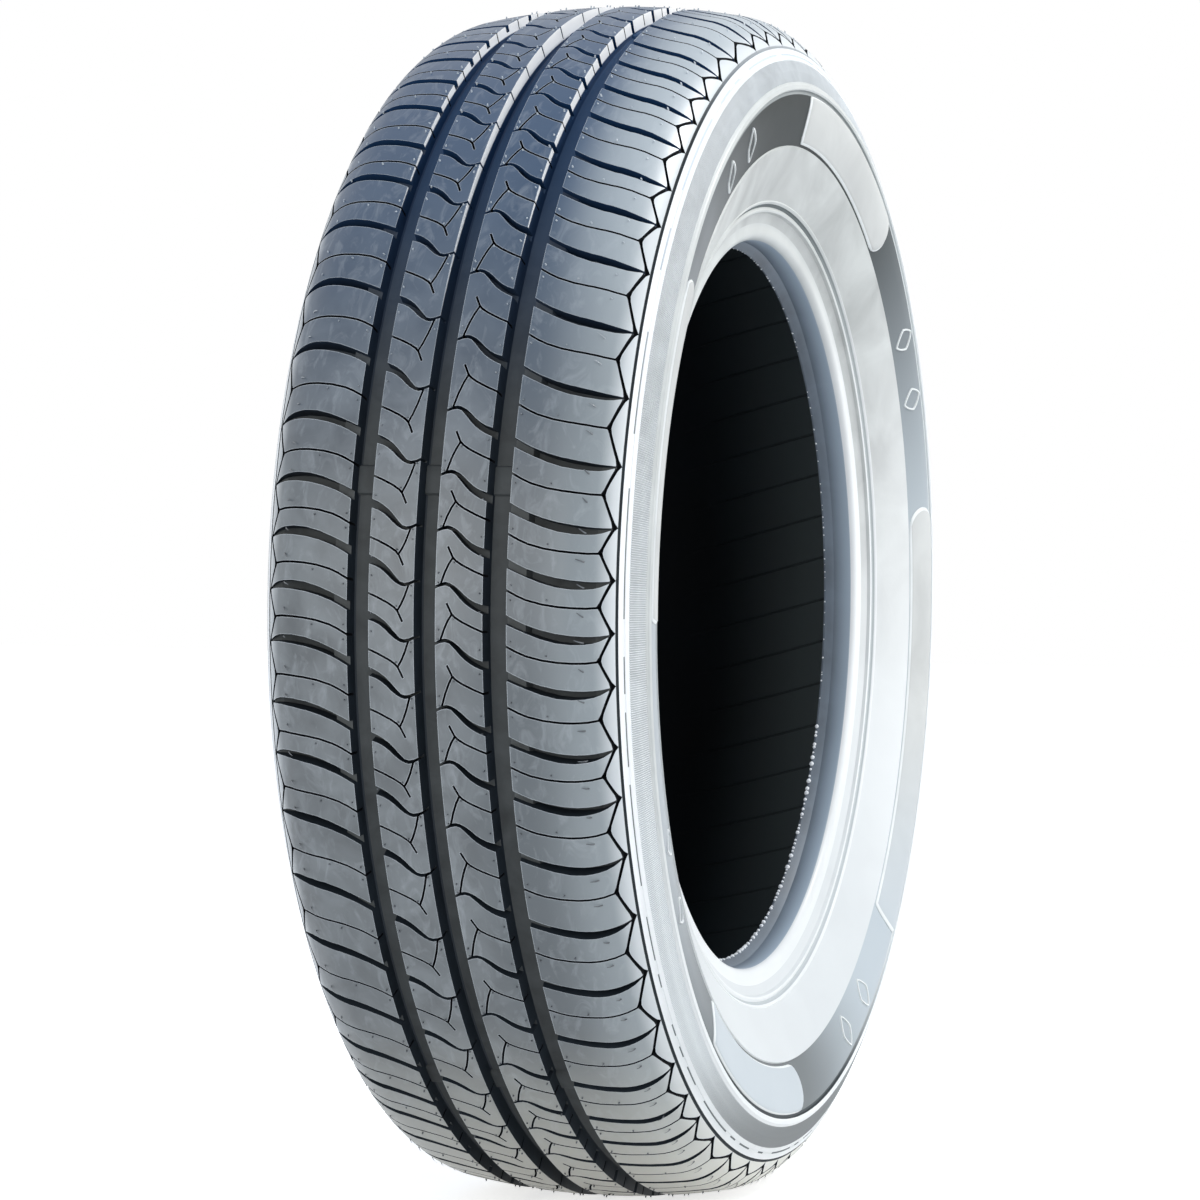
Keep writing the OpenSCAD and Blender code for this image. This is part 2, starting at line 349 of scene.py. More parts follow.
def makeFinish(name):
    f = finishes[name]
    mat = bpy.data.materials.new(name)
    mat.use_nodes = True
    link = mat.node_tree.links.new
    shader = mat.node_tree.nodes["Principled BSDF"]
    shader.inputs["Specular IOR Level"].default_value = f["gloss"]
    place = addNode(mat, "ShaderNodeTexCoord").outputs["Object"]
    patchSize, patchAmount = f["patches"]
    patches = addNode(mat, "ShaderNodeTexNoise", Scale=1000 / patchSize, Detail=5, Distortion=0.6)
    link(place, patches.inputs["Vector"])
    even = addNode(mat, "ShaderNodeMapRange", From_Min=0.3, From_Max=0.7)
    link(patches.outputs["Fac"], even.inputs["Value"])
    blend = addNode(mat, "ShaderNodeMix", data_type="RGBA")
    blend.inputs["A"].default_value = (*[c * (1 - patchAmount) for c in f["colour"]], 1)
    blend.inputs["B"].default_value = (*[min(c * (1 + patchAmount), 0.95) for c in f["colour"]], 1)
    link(even.outputs["Result"], blend.inputs["Factor"])
    colour = blend.outputs["Result"]

    def blendTo(target, mask):
        layer = addNode(mat, "ShaderNodeMix", data_type="RGBA")
        layer.inputs["B"].default_value = (*target, 1)
        link(colour, layer.inputs["A"])
        link(mask, layer.inputs["Factor"])
        return layer.outputs["Result"]

    # layers of painted light and shade over the colour
    for axis, start, end, target, share, *part in f.get("paintedLight", []):
        mask = rampAlong(mat, place, axis, start, end, share)
        if part:
            both = addNode(mat, "ShaderNodeMath", operation="MULTIPLY")
            link(mask, both.inputs[0])
            link(rampAlong(mat, place, *part[0]), both.inputs[1])
            mask = both.outputs["Value"]
        colour = blendTo(target, mask)
    if "scuffs" in f:
        stretch = addNode(mat, "ShaderNodeMapping")
        stretch.inputs["Scale"].default_value = wearAndEdgeSheen["scuffScale"]
        link(place, stretch.inputs["Vector"])
        streaks = addNode(mat, "ShaderNodeTexNoise", Scale=1.0, Detail=6, Roughness=0.6, Distortion=1.2)
        link(stretch.outputs["Vector"], streaks.inputs["Vector"])
        scuffStart, scuffFull = wearAndEdgeSheen["scuffRange"]
        few = addNode(mat, "ShaderNodeMapRange", From_Min=scuffStart, From_Max=scuffFull, To_Max=f["scuffs"])
        link(streaks.outputs["Fac"], few.inputs["Value"])
        colour = blendTo(f["wornAndSheen"], few.outputs["Result"])
    if "glint" in f:
        colour = blendTo(f["glint"], glintMask(mat, place))
    # edges: wear with a painted highlight along them
    if "wornAndSheen" in f:
        soft = addNode(mat, "ShaderNodeBevel", samples=4, Radius=wearAndEdgeSheen["edge"] / 1000)
        flat = addNode(mat, "ShaderNodeNewGeometry")
        match = addNode(mat, "ShaderNodeVectorMath", operation="DOT_PRODUCT")
        link(soft.outputs["Normal"], match.inputs[0])
        link(flat.outputs["Normal"], match.inputs[1])
        bendStart, bendFull = wearAndEdgeSheen["edgeBend"]
        edge = addNode(mat, "ShaderNodeMapRange", From_Min=bendStart, From_Max=bendFull,
                       To_Max=wearAndEdgeSheen["edgeShare"])
        link(match.outputs["Value"], edge.inputs["Value"])
        colour = blendTo(f["wornAndSheen"], edge.outputs["Result"])
    link(colour, shader.inputs["Base Color"])
    rough = addNode(mat, "ShaderNodeMapRange", To_Min=f["rough"] - roughSpread,
                    To_Max=f["rough"] + roughSpread)
    link(patches.outputs["Fac"], rough.inputs["Value"])
    link(rough.outputs["Result"], shader.inputs["Roughness"])
    grainSize, grainHeight = f["grain"]
    grain = addNode(mat, "ShaderNodeTexNoise", Scale=1000 / grainSize, Detail=2)
    bump = addNode(mat, "ShaderNodeBump", Distance=grainHeight * 0.001, Strength=grainStrength)
    link(place, grain.inputs["Vector"])
    link(grain.outputs["Fac"], bump.inputs["Height"])
    link(bump.outputs["Normal"], shader.inputs["Normal"])
    return mat


glint = {
    "deeperUp": 0.045,         # how much deeper the light reaches for each mm up the tyre
    "radius": (316.3, 316.9),  # where it starts and is full, at the height of the spin axis
    "facing": (-0.5, -0.7),    # how far a wall faces -Y
}


def glintMask(mat, place):
    # walls that face -Y, from their top edge down
    link = mat.node_tree.links.new
    flat = addNode(mat, "ShaderNodeVectorMath", operation="MULTIPLY")
    flat.inputs[1].default_value = (1, 0, 1)
    link(place, flat.inputs[0])
    reach = addNode(mat, "ShaderNodeVectorMath", operation="LENGTH")
    link(flat.outputs["Vector"], reach.inputs[0])
    split = addNode(mat, "ShaderNodeSeparateXYZ")
    link(place, split.inputs["Vector"])
    level = addNode(mat, "ShaderNodeMath", operation="MULTIPLY_ADD")
    level.inputs[1].default_value = glint["deeperUp"]
    link(split.outputs["Z"], level.inputs[0])
    link(reach.outputs["Value"], level.inputs[2])
    start, full = glint["radius"]
    lit = addNode(mat, "ShaderNodeMapRange", From_Min=start / 1000, From_Max=full / 1000)
    link(level.outputs["Value"], lit.inputs["Value"])
    facing = addNode(mat, "ShaderNodeSeparateXYZ")
    link(addNode(mat, "ShaderNodeNewGeometry").outputs["Normal"], facing.inputs["Vector"])
    turned = addNode(mat, "ShaderNodeMapRange", From_Min=glint["facing"][0], From_Max=glint["facing"][1])
    link(facing.outputs["Y"], turned.inputs["Value"])
    both = addNode(mat, "ShaderNodeMath", operation="MULTIPLY")
    link(lit.outputs["Result"], both.inputs[0])
    link(turned.outputs["Result"], both.inputs[1])
    return both.outputs["Value"]


finish = {name: makeFinish(name) for name in finishes}
print("finishes made")

# casing: the profile is turned round the spin axis

casing = {
    "radius": 310.75,          # middle of the tread
    "crownRadius": 344.0,
    "steps": 208,              # round the tyre
    "halfWidth": 94.5,
    "edgeY": 84.6,             # the fine line that closes the tread
    "edgeR": 288.6,
    "bellyR": 262.0,           # widest place
    "bellyBend": 1.4,          # 1 is a straight wall below it, 2 a round one
    "beadR": 190.1,
    "heelY": 69.0,
    "heelRound": 4.5,
    "toeY": 51.0,
    "toeDrop": 3.8,
    "lineR": 205.4,            # rim line ring
    "lineY": 72.9,
    "bandIn": 238.6,           # sunk band
    "bandOut": 266.6,
    "bandSink": 1.0,
    "wall": 6.5,
    "underTread": 7.0,
    "grooveDepth": 8.0,
    "centreHalf": 5.2,
    "sideIn": 27.7,            # outer round-going grooves
    "sideOut": 38.7,
    "flat": 1.0,               # how far it is pressed in where it stands
    "dashShare": 0.72,         # of the broken line
    # rounded foot of a groove's wall: up from the floor, in from the wall
    "foot": [(1.1, 0.75), (0.3, 1.15), (0, 1.9)],
}
# fine rings of the upper sidewall, in mm from the spin axis; the edge step has its place across too
sideTrim = {
    "edgeStep": [(288.95, 84.45), (288.2, 84.3), (287.95, 84.9), (288.05, 85.5)],
    "litBandStart": (288.0, 85.65),
    "litBandAbove": [286.4, 285.15],
    "dash": [285.0, 284.3],
    "dashSink": 0.3,
    "litBandBelow": [284.15, 282.4],
    "gripStep": [282.1, 281.7],
    "grip": [278.5, 275, 271.2],
    "gripSink": 0.35,
    "ridgeRise": 0.7,          # ridge that borders the sunk band
}
zoneNames = ["treadTop", "grooveWall", "grooveFloor", "tieBar", "slitShade", "sideSmooth", "gripGround",
             "sideBright", "litBand", "sunkBand", "bandEdge", "rimChannel", "edgeLine", "dashLine",
             "beadBase", "liner"]


def crown(y):
    return casing["radius"] - y * y / (2 * casing["crownRadius"])


def sideY(r):
    # outer face of the sidewall
    c = casing
    if r > c["bellyR"]:
        above = (r - c["bellyR"]) / (c["edgeR"] - c["bellyR"])
        return c["halfWidth"] - (c["halfWidth"] - c["edgeY"]) * above ** 2
    below = (c["bellyR"] - r) / (c["bellyR"] - c["lineR"])
    return c["halfWidth"] - (c["halfWidth"] - c["lineY"]) * below ** c["bellyBend"]


shoulderCurve = smoothCurve([(58, crown(58)), (64, crown(64)), (70.8, 302.3), (77, 298.2), (81.2, 294.4),
                             (83.7, 291.0), (84.5, 289.4)], 2)[2:]
treadTable = [(y, crown(y)) for y in spread(0, 64, 32)] + shoulderCurve[1:] + [(84.7, 288.4)]


def treadRadius(y):
    return lookUp(treadTable, abs(y))


def grooveRing(near, far, floor):
    # wall, rounded foot, floor, rounded foot, wall: from near to far across the tread
    (high, thin), (low, middle), (_, wide) = casing["foot"]
    return [("grooveWall", [(floor + high, near + thin), (floor + low, near + middle)]),
            ("grooveFloor", [(floor, y) for y in spread(near + wide, far - wide, 2)]),
            ("grooveWall", [(floor + low, far - middle), (floor + high, far - thin), (crown(far), far)])]


def onSide(radii, lift=0.0):
    # points of the profile, that far out from the sidewall's face
    return [(r, sideY(r) + lift) for r in radii]


def onBand(side, angle, r, lift):
    # a point over the floor of the sunk band; the two sidewalls are half a turn round from each other
    x, y, z = onWheel(angle, -(sideY(r) - casing["bandSink"] + lift), r)
    return (x, y, z) if side < 0 else (-x, -y, z)


def halfProfile():
    # (finish, points) from the middle of the tread out, down the sidewall and back inside
    # a point is (r, across)
    c, t = casing, sideTrim
    floor = c["radius"] - c["grooveDepth"]
    sideFloor = crown(c["sideIn"]) - c["grooveDepth"]
    centre, inBand, outBand, sink = c["centreHalf"], c["bandIn"], c["bandOut"], c["bandSink"]
    line, lineY, bead, heel, heelY = c["lineR"], c["lineY"], c["beadR"], c["heelRound"], c["heelY"]
    toeY, toeDrop = c["toeY"], c["toeDrop"]
    innerTop = sideFloor - c["underTread"]
    (high, thin), (low, middle), (_, wide) = c["foot"]
    half = [("grooveFloor", [(floor, 0), (floor, centre - wide)]),
            ("grooveWall", [(floor + low, centre - middle), (floor + high, centre - thin),
                            (crown(centre), centre)]),
            ("treadTop", [(crown(y), y) for y in spread(centre, c["sideIn"], 5)[1:]])]
    half += grooveRing(c["sideIn"], c["sideOut"], sideFloor)
    half += [("treadTop", [(crown(y), y) for y in spread(c["sideOut"], 64, 5)[1:]]
              + [(r, y) for y, r in shoulderCurve[1:]]),
             ("edgeLine", t["edgeStep"]),
             ("litBand", [t["litBandStart"]] + onSide(t["litBandAbove"])),
             ("dashLine", onSide(t["dash"], -t["dashSink"])),
             ("litBand", onSide(t["litBandBelow"]) + onSide(t["gripStep"], -t["gripSink"])),
             ("gripGround", onSide(t["grip"], -t["gripSink"])),
             # sunk band between its two ridges
             ("sideBright", onSide([outBand + 4.2, outBand + 3.9])
              + onSide([outBand + 2.9, outBand + 0.9], t["ridgeRise"]) + onSide([outBand + 0.2])),
             ("bandEdge", onSide([outBand, outBand - 1.9], -sink)),
             ("sunkBand", onSide(spread(outBand - 2, inBand, 6), -sink)),
             ("sideBright", onSide([inBand - 0.6])),
             ("sideSmooth", onSide(spread(inBand - 1.5, line + 5.2, 7))),
             # rim line: ridge, channel, ridge
             ("sideBright", onSide([line + 4.6, line + 4.0], 0.55) + onSide([line + 3.4], 0.1)),
             ("rimChannel", onSide([line + 3.0, line + 1.9], -0.6)),
             ("sideBright", [(line + 1.2, lineY + 0.75), (line + 0.3, lineY + 0.9),
                             (line - 0.6, lineY + 0.5)]),
             ("sideSmooth", [(line - 1.4, lineY - 1.2), (line - 3.2, lineY - 2.1), (line - 5, heelY + 1.2),
                             (bead + heel + 4.4, heelY + 0.4)]),
             # bead: heel, flat seat, toe
             ("sideBright", [(bead + heel + 2.2, heelY)]
              + [(bead + heel * (1 - sin(radians(a))), heelY - heel * (1 - cos(radians(a))))
                 for a in range(0, 76, 15)]),
             ("beadBase", [(bead, heelY - heel), (bead, heelY - heel - 4), (bead - 0.1, heelY - heel - 8.5),
                           (bead - 0.5 * toeDrop, toeY + 2.9), (bead - toeDrop, toeY + 1),
                           (bead - toeDrop + 0.3, toeY)])]
    # liner: under the bead, along the sidewall and across below the tread; the wall is thickest near the bead
    inside = [(bead + 2.2, toeY - 0.2), (bead + 6, toeY + 0.8), (bead + 13, toeY + 6)]
    for i in range(8):
        r = bead + 22 + i * 9.4
        inside.append((r, sideY(r) - c["wall"] - 2 * (1 - i / 7) ** 2))
    inside += [(c["edgeR"] - 4.5, c["edgeY"] - 8.4), (innerTop - 7, c["edgeY"] - 17),
               (innerTop - 2.6, c["edgeY"] - 33), (innerTop, c["sideIn"]), (innerTop + 0.6, 0)]
    return half + [("liner", inside)]


def turnCasing():
    points, zones = [], []
    for zone, run in halfProfile():
        for p in run:
            points.append(p)
            zones.append(zoneNames.index(zone))
    ring = points + [(r, -y) for r, y in points[-2:0:-1]]    # the -Y half, back from the liner's middle
    zones = zones[1:] + zones[:0:-1]                         # finish of the strip that leaves each point
    n, steps = len(ring), casing["steps"]
    random.seed(4)
    dashes = [random.random() < casing["dashShare"] for _ in range(steps)]
    verts, faces, faceFinish = [], [], []
    for i in range(steps):
        a = 360 * i / steps
        verts += [onWheel(a, y, r) for r, y in ring]
        j = (i + 1) % steps
        for k in range(n):
            m = (k + 1) % n
            faces.append((i * n + k, i * n + m, j * n + m, j * n + k))
            gap = zoneNames[zones[k]] == "dashLine" and not dashes[i]
            faceFinish.append(zoneNames.index("litBand") if gap else zones[k])
    print("casing turned:", n, "points in its profile")
    return buildObject("tyreCasing", verts, faces, [finish[z] for z in zoneNames], faceFinish)


tyre = turnCasing()

# tread pattern

pattern = {
    "pitches": "SSMSMLLLMSSSMSMLLLLMSMLLMSSMLLLMSSSMLLMSSMLLLMSMLLLMSSMLLSSSSLMS",
    "lengths": {"S": 11, "M": 13, "L": 15},
    "firstPitch": 57.12,
    "halfShift": 3.42,         # from one half of the tread to the other
    "ribShift": 4.35,
    # shoulder groove: across, lower edge, upper edge, depth
    "shoulderGroove": [(35.2, -10.9, -6.0, 3.2), (38.0, -9.3, -4.3, 3.2), (43.0, -6.6, -2.0, 3.2),
                       (46.6, -4.9, -0.5, 3.4), (48.2, -4.2, 0.1, 7.2), (54.0, -2.2, 2.3, 7.6),
                       (61.0, -0.5, 4.2, 7.8), (68.0, 0.5, 5.0, 7.4), (73.5, 0.9, 4.9, 6.0),
                       (76.6, 0.9, 4.5, 4.6), (79.4, 0.7, 3.6, 3.2), (82.0, 0.4, 2.0, 1.8),
                       (84.35, -0.1, 0.6, 0.8)],
    "tieBarDepth": 4,          # the groove's floor is a tie bar where it is shallower
    # middle rib groove: across, lower edge, upper edge, depth
    "ribGroove": [(3.2, 2.7, 4.5, 6.0), (5.2, 1.8, 3.5, 6.2), (7.6, 0.6, 2.5, 6.2), (10.0, 0.0, 2.1, 6.2),
                  (12.0, 0.5, 2.7, 6.2), (14.5, 1.8, 5.2, 6.2), (17.0, 3.8, 8.0, 6.2), (19.3, 6.0, 10.2, 6.2),
                  (22.0, 8.0, 12.1, 6.2), (24.5, 9.3, 13.5, 6.2), (27.7, 10.3, 14.8, 6.2),
                  (30.4, 11.0, 15.5, 6.2)],
    # slits: across, up from the slit's own angle
    "shoulderSipe": [(35.3, -8.9), (39, -6.9), (43.5, -4.5), (48, -2.6), (55, -0.8), (62, 0.2), (68, 0.65),
                     (74, 0.8), (79.6, 0.3)],
    "sipeBridges": [47.0, 58.5, 70.0],
    "fork": -0.43,             # where the rib's slit forks, as a share of the pitch up from the hook
    # its upper part: across, up from the fork
    "branch": [(10.7, -4.9), (11.9, -2.4), (13.1, 0), (14.6, 1.6), (17, 3.2), (19.5, 4.5), (23.5, 6.4),
               (27.7, 8.1), (30.2, 9.0)],
    "branchBridges": [18.2, 24.0],
    # its lower part: across, share of the way from the hook to the fork, and more
    "leg": [(13.3, 1, 0.15), (11.4, 0.72, 0), (9.6, 0.42, 0.6), (7.6, 0, 1.6)],
    "sipeWidth": 1.05,
    "sipeDepth": 5.5,
    # thin web that ties the two sides of a slit: half its width at the top and the foot, depth over it,
    # and how far a point of the path keeps away
    "bridge": {"top": 0.55, "foot": 0.75, "depth": 1.1, "clear": 1.6},
    "cutAbove": 4,             # how far the cutters stand out of the rubber
    "zigzag": {"width": 1.15, "notch": 1.9, "depth": 2.4, "tipY": 83.6, "middleY": 78.9, "notchShare": 0.16},
}


def pitchTable():
    # (tip angle, next pitch, side) for each shoulder groove
    p = pattern
    units = [p["lengths"][c] for c in p["pitches"]]
    unit = 360 / sum(units)
    table, start = [], p["firstPitch"]
    for k, u in enumerate(units):
        table.append((start + p["halfShift"], u * unit, 1))
        table.append((start, units[k - 1] * unit, -1))
        start -= u * unit
    return table


pitches = pitchTable()


def onTread(angle, side, s, y, height):
    # a point of the pattern: s up round the tread, y out from the middle, height over the rubber
    r = treadRadius(y)
    return onWheel(angle + side * degrees(s / r), side * y, r + height)


def grooveRows(angle, side, stations, draft=0.45):
    # sections of a groove that narrows by the draft at its floor
    top = pattern["cutAbove"]
    rows = []
    for y, low, high, depth in stations:
        pull = min(draft, 0.2 * (high - low))
        section = ((low, top), (high, top), (high - pull, -depth), (low + pull, -depth))
        rows.append([onTread(angle, side, s, y, height) for s, height in section])
    return rows


def slitRows(angle, side, path, width, depths):
    # path of (y, s); the slit keeps its width square to the path
    top = pattern["cutAbove"]
    rows = []
    for i, (y, s) in enumerate(path):
        y0, s0 = path[max(i - 1, 0)]
        y1, s1 = path[min(i + 1, len(path) - 1)]
        run = hypot(y1 - y0, s1 - s0)
        ny, ns = -(s1 - s0) / run * width / 2, (y1 - y0) / run * width / 2
        rows.append([onTread(angle, side, s + ns, y + ny, top), onTread(angle, side, s - ns, y - ny, top),
                     onTread(angle, side, s - ns, y - ny, -depths[i]),
                     onTread(angle, side, s + ns, y + ny, -depths[i])])
    return rows


def withBridges(path, bridges, depth):
    # adds stations to the path at each bridge; returns the path and its depths
    b = pattern["bridge"]
    ys = sorted([y for y, s in path if all(abs(y - at) > b["clear"] for at in bridges)]
                + [at + d for at in bridges for d in (-b["foot"], -b["top"], b["top"], b["foot"])])
    half = mix(b["top"], b["foot"], 0.5)
    out, depths = [], []
    for y in ys:
        out.append((y, lookUp(path, y)))
        depths.append(b["depth"] if any(abs(y - at) < half for at in bridges) else depth)
    return out, depths


cutFinish = [zoneNames.index(n) for n in ("grooveWall", "grooveWall", "grooveFloor", "grooveWall")]
slitFinish = [zoneNames.index("slitShade")] * 4


def carve(body, shapes):
    cutter = shapes.build("cutter", [finish[z] for z in zoneNames])
    mod = body.modifiers.new("carve", "BOOLEAN")
    mod.operation = "DIFFERENCE"
    mod.solver = "MANIFOLD"
    mod.object = cutter
    solid = bpy.data.meshes.new_from_object(body.evaluated_get(bpy.context.evaluated_depsgraph_get()))
    body.modifiers.clear()
    old, body.data = body.data, solid
    bpy.data.meshes.remove(old)
    bpy.data.objects.remove(cutter)


def carveTread():
    p = pattern
    grooves, sipes, legs = Shapes(), Shapes(), Shapes()
    width, depth = p["sipeWidth"], p["sipeDepth"]
    shallow = [station[3] < p["tieBarDepth"] for station in p["shoulderGroove"]]

    def tieBarFloor(i, k):
        return zoneNames.index("tieBar") if k == 2 and shallow[i + 1] else None

    sipePath, sipeDepths = withBridges(p["shoulderSipe"], p["sipeBridges"], depth)
    for angle, pitch, side in pitches:
        hook = angle - side * p["ribShift"]
        gap = casing["radius"] * radians(pitch)
        fork = p["fork"] * gap
        grooves.tube(grooveRows(angle, side, p["shoulderGroove"]), finish=cutFinish, finishOf=tieBarFloor)
        grooves.tube(grooveRows(hook, side, p["ribGroove"]), finish=cutFinish)
        sipes.tube(slitRows(angle - side * pitch / 2, side, sipePath, width, sipeDepths), finish=slitFinish)
        branch, depths = withBridges([(y, fork + s) for y, s in p["branch"]], p["branchBridges"], depth)
        sipes.tube(slitRows(hook, side, branch, width, depths), finish=slitFinish)
        leg = [(y, share * fork + s) for y, share, s in p["leg"]]
        legs.tube(slitRows(hook, side, leg, width, [depth] * len(leg)), finish=slitFinish)
    carve(tyre, grooves)
    carve(tyre, sipes)
    carve(tyre, legs)
    carve(tyre, zigzagLines())


def zigzagLines():
    # fine line that closes each half of the tread; it is wider at its corners
    z, top = pattern["zigzag"], pattern["cutAbove"]
    near = z["notchShare"]
    lines = Shapes()
    for wanted in (1, -1):
        corners = []
        for angle, pitch, side in pitches:
            if side == wanted:
                corners += [(angle, z["tipY"]), (angle - side * pitch / 2, z["middleY"])]
        corners.sort(key=lambda corner: corner[0])
        rows = []
        for i, (a, y) in enumerate(corners):
            a1, y1 = corners[(i + 1) % len(corners)]
            a1 += 360 if i == len(corners) - 1 else 0
            for t, width in ((0, z["notch"]), (near, z["width"]), (1 - near, z["width"])):
                ya, half = mix(y, y1, t), width / 2
                section = ((-half, top), (half, top), (half, -z["depth"]), (-half, -z["depth"]))
                rows.append([onWheel(mix(a, a1, t), wanted * (ya + d), treadRadius(ya) + h)
                             for d, h in section])
        lines.tube(rows, closed=True, finish=slitFinish)
    return lines


carveTread()
floorZ = -(casing["radius"] - casing["flat"]) * 0.001
for v in tyre.data.vertices:
    v.co.z = max(v.co.z, floorZ)     # it stands flat on its lowest blocks
tyre.data.validate()                 # drops the doubled face that the cuts leave
shadeByAngle(tyre, 32)
print("tread carved:", len(tyre.data.polygons), "faces")
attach(tyre, "root")
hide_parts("tyre")


def finishPiece(obj):
    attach(obj, "root")
    print(obj.name, "built:", len(obj.data.polygons), "faces")


# wear bars across the round-going grooves

wearBar = {
    "start": 9.0,              # angle of the first, and how far each runs
    "length": 2.4,
    "count": 6,
    "height": 1.6,
    "inset": 0.9,              # from the groove's wall
    "root": 2,                 # how far it goes down into the rubber
    "ends": [(-0.25, -0.5), (0, 0.8), (0.15, 1)],      # degrees in from each end, share of the height
}


def buildWearBars():
    w, c = wearBar, casing
    bars = Shapes()
    sideMiddle = (c["sideIn"] + c["sideOut"]) / 2
    sideHalf = (c["sideOut"] - c["sideIn"]) / 2 - w["inset"]
    sideFloor = crown(c["sideIn"]) - c["grooveDepth"]
    grooves = [(0, c["centreHalf"] - w["inset"], c["radius"] - c["grooveDepth"]),
               (sideMiddle, sideHalf, sideFloor), (-sideMiddle, sideHalf, sideFloor)]
    for i in range(w["count"]):
        start = w["start"] + 360 / w["count"] * i
        end = start + w["length"]
        slope = [(start + a, lift) for a, lift in w["ends"]]
        slope += [(end - a, lift) for a, lift in reversed(w["ends"])]
        for y, half, floor in grooves:
            rows = []
            for a, lift in slope:
                top, root = floor + lift * w["height"], floor - w["root"]
                rows.append([onWheel(a, y - half, top), onWheel(a, y + half, top),
                             onWheel(a, y + half, root), onWheel(a, y - half, root)])
            bars.tube(rows)
    return bars.build("wearBars", [finish["grooveFloor"]], 30)


finishPiece(buildWearBars())

# fine radial ribs of the grip band on both sidewalls

gripBand = {"inner": 270.9, "outer": 281.9, "count": 1640, "width": 0.6, "height": 0.35, "root": 0.15}


def buildGripBand():
    ribs = Shapes()
    g = gripBand
    for side in (1, -1):
        for i in range(g["count"]):
            a = 360 * (i + (0.5 if side > 0 else 0)) / g["count"]      # half a step apart on the two sides
            rows = []
            for r in (g["inner"], mix(g["inner"], g["outer"], 0.5), g["outer"]):
                turn = degrees(g["width"] / 2 / r)
                base = sideY(r) - sideTrim["gripSink"] - g["root"]
                ridge = base + g["root"] + g["height"]
                rows.append([onWheel(a - turn, side * base, r), onWheel(a, side * ridge, r),
                             onWheel(a + turn, side * base, r)])
            ribs.tube(rows)
    return ribs.build("gripBand", [finish["gripRib"]])


finishPiece(buildGripBand())

# plain raised panels in the sunk band

sidePanel = {
    # middle and half length in degrees, on the side that faces -Y; the other side is the same, turned round
    "places": [(17, 19.4), (107, 19.4), (195.4, 29), (287, 19.4)],
    "inner": 240.0,
    "outer": 264.8,
    "roundEnd": 11.0,          # how far the far end bulges
    "frontEnd": 3.0,           # and the end nearer the front
    "height": 1.05,
    "borderHeight": 0.35,      # share of the height at the border
    "root": 0.8,
    "steps": (26, 10),         # along and across
    "rim": (0.985, 0.93),      # where the rim starts, as a share from the middle out
}


def borderedSteps(steps, rim):
    return sorted(set([round(x, 5) for x in spread(-1, 1, steps)] + [-rim, rim]))


def raisedPatch(shapes, side, outline):
    # outline(u, v) gives (angle, r) on the -Y side for u and v from -1 to 1; the top rolls down at its border
    s = sidePanel
    us, vs = (borderedSteps(steps, rim) for steps, rim in zip(s["steps"], s["rim"]))
    base = len(shapes.verts)
    for sink in (0, 1):
        for u in us:
            for v in vs:
                a, r = outline(u, v)
                edge = max(abs(u), abs(v)) > 0.999
                lift = -s["root"] if sink else s["height"] * (s["borderHeight"] if edge else 1.0)
                shapes.verts.append(onBand(side, a, r, lift))
    n, m = len(us), len(vs)
    low = base + n * m
    for i in range(n - 1):
        for j in range(m - 1):
            a, b, c, d = i * m + j, (i + 1) * m + j, (i + 1) * m + j + 1, i * m + j + 1
            rim = i in (0, n - 2) or j in (0, m - 2)
            shapes.faces.append((base + a, base + b, base + c, base + d))
            shapes.faces.append((low + d, low + c, low + b, low + a))
            shapes.finish += [1 if rim else 0, 0]
    border = ([i * m for i in range(n)] + [(n - 1) * m + j for j in range(1, m)]
              + [i * m + m - 1 for i in range(n - 2, -1, -1)] + [j for j in range(m - 2, 0, -1)])
    for p, q in zip(border, border[1:] + border[:1]):
        shapes.faces.append((base + p, low + p, low + q, base + q))
        shapes.finish.append(1)


def buildPanels():
    s = sidePanel
    middle, half = (s["inner"] + s["outer"]) / 2, (s["outer"] - s["inner"]) / 2
    shapes = Shapes()
    for side in (-1, 1):
        for centre, length in s["places"]:
            def panel(u, v):
                r = middle + v * half
                bulge = s["roundEnd"] if (u > 0) == (sin(radians(centre)) > 0) else s["frontEnd"]
                reach = length - degrees(bulge * (1 - (1 - min(v * v, 1)) ** 0.5) / r)
                return centre + u * reach, r
            raisedPatch(shapes, side, panel)
    return shapes.build("sidePanels", [finish["panelFace"], finish["panelRim"]], 40)


finishPiece(buildPanels())

# small open diamonds in the gaps between the panels

diamond = {
    "middles": [60, 147, 242, 329],      # angle midway between the two of each pair
    "offset": 4.4,
    "halfWide": 6.2,
    "halfHigh": 8.6,
    "line": 0.75,
    "height": 0.65,
    "corner": 1.25,            # 1 is a sharp diamond, 2 an ellipse
    "steps": 40,
    "section": [(-1, -0.4), (-0.6, 1), (0.6, 1), (1, -0.4)],    # across the line and up, as shares
}


def buildDiamonds():
    d = diamond
    radius = (sidePanel["inner"] + sidePanel["outer"]) / 2
    shapes = Shapes()
    for side in (-1, 1):
        for middle in d["middles"]:
            for offset in (-d["offset"], d["offset"]):
                rows = []
                for k in range(d["steps"]):
                    t = 2 * pi * k / d["steps"]
                    size = 1 / (abs(cos(t)) ** d["corner"] + abs(sin(t)) ** d["corner"]) ** (1 / d["corner"])
                    row = []
                    for grow, lift in d["section"]:
                        wide = size * cos(t) * (d["halfWide"] + grow * d["line"])
                        r = radius + size * sin(t) * (d["halfHigh"] + grow * d["line"])
                        row.append(onBand(side, middle + offset + degrees(wide / r), r, lift * d["height"]))
                    rows.append(row)
                shapes.tube(rows, closed=True)
    return shapes.build("bandDiamonds", [finish["panelRim"]], 30)


finishPiece(buildDiamonds())

# vent nubs and hairs that the mould leaves on the tread

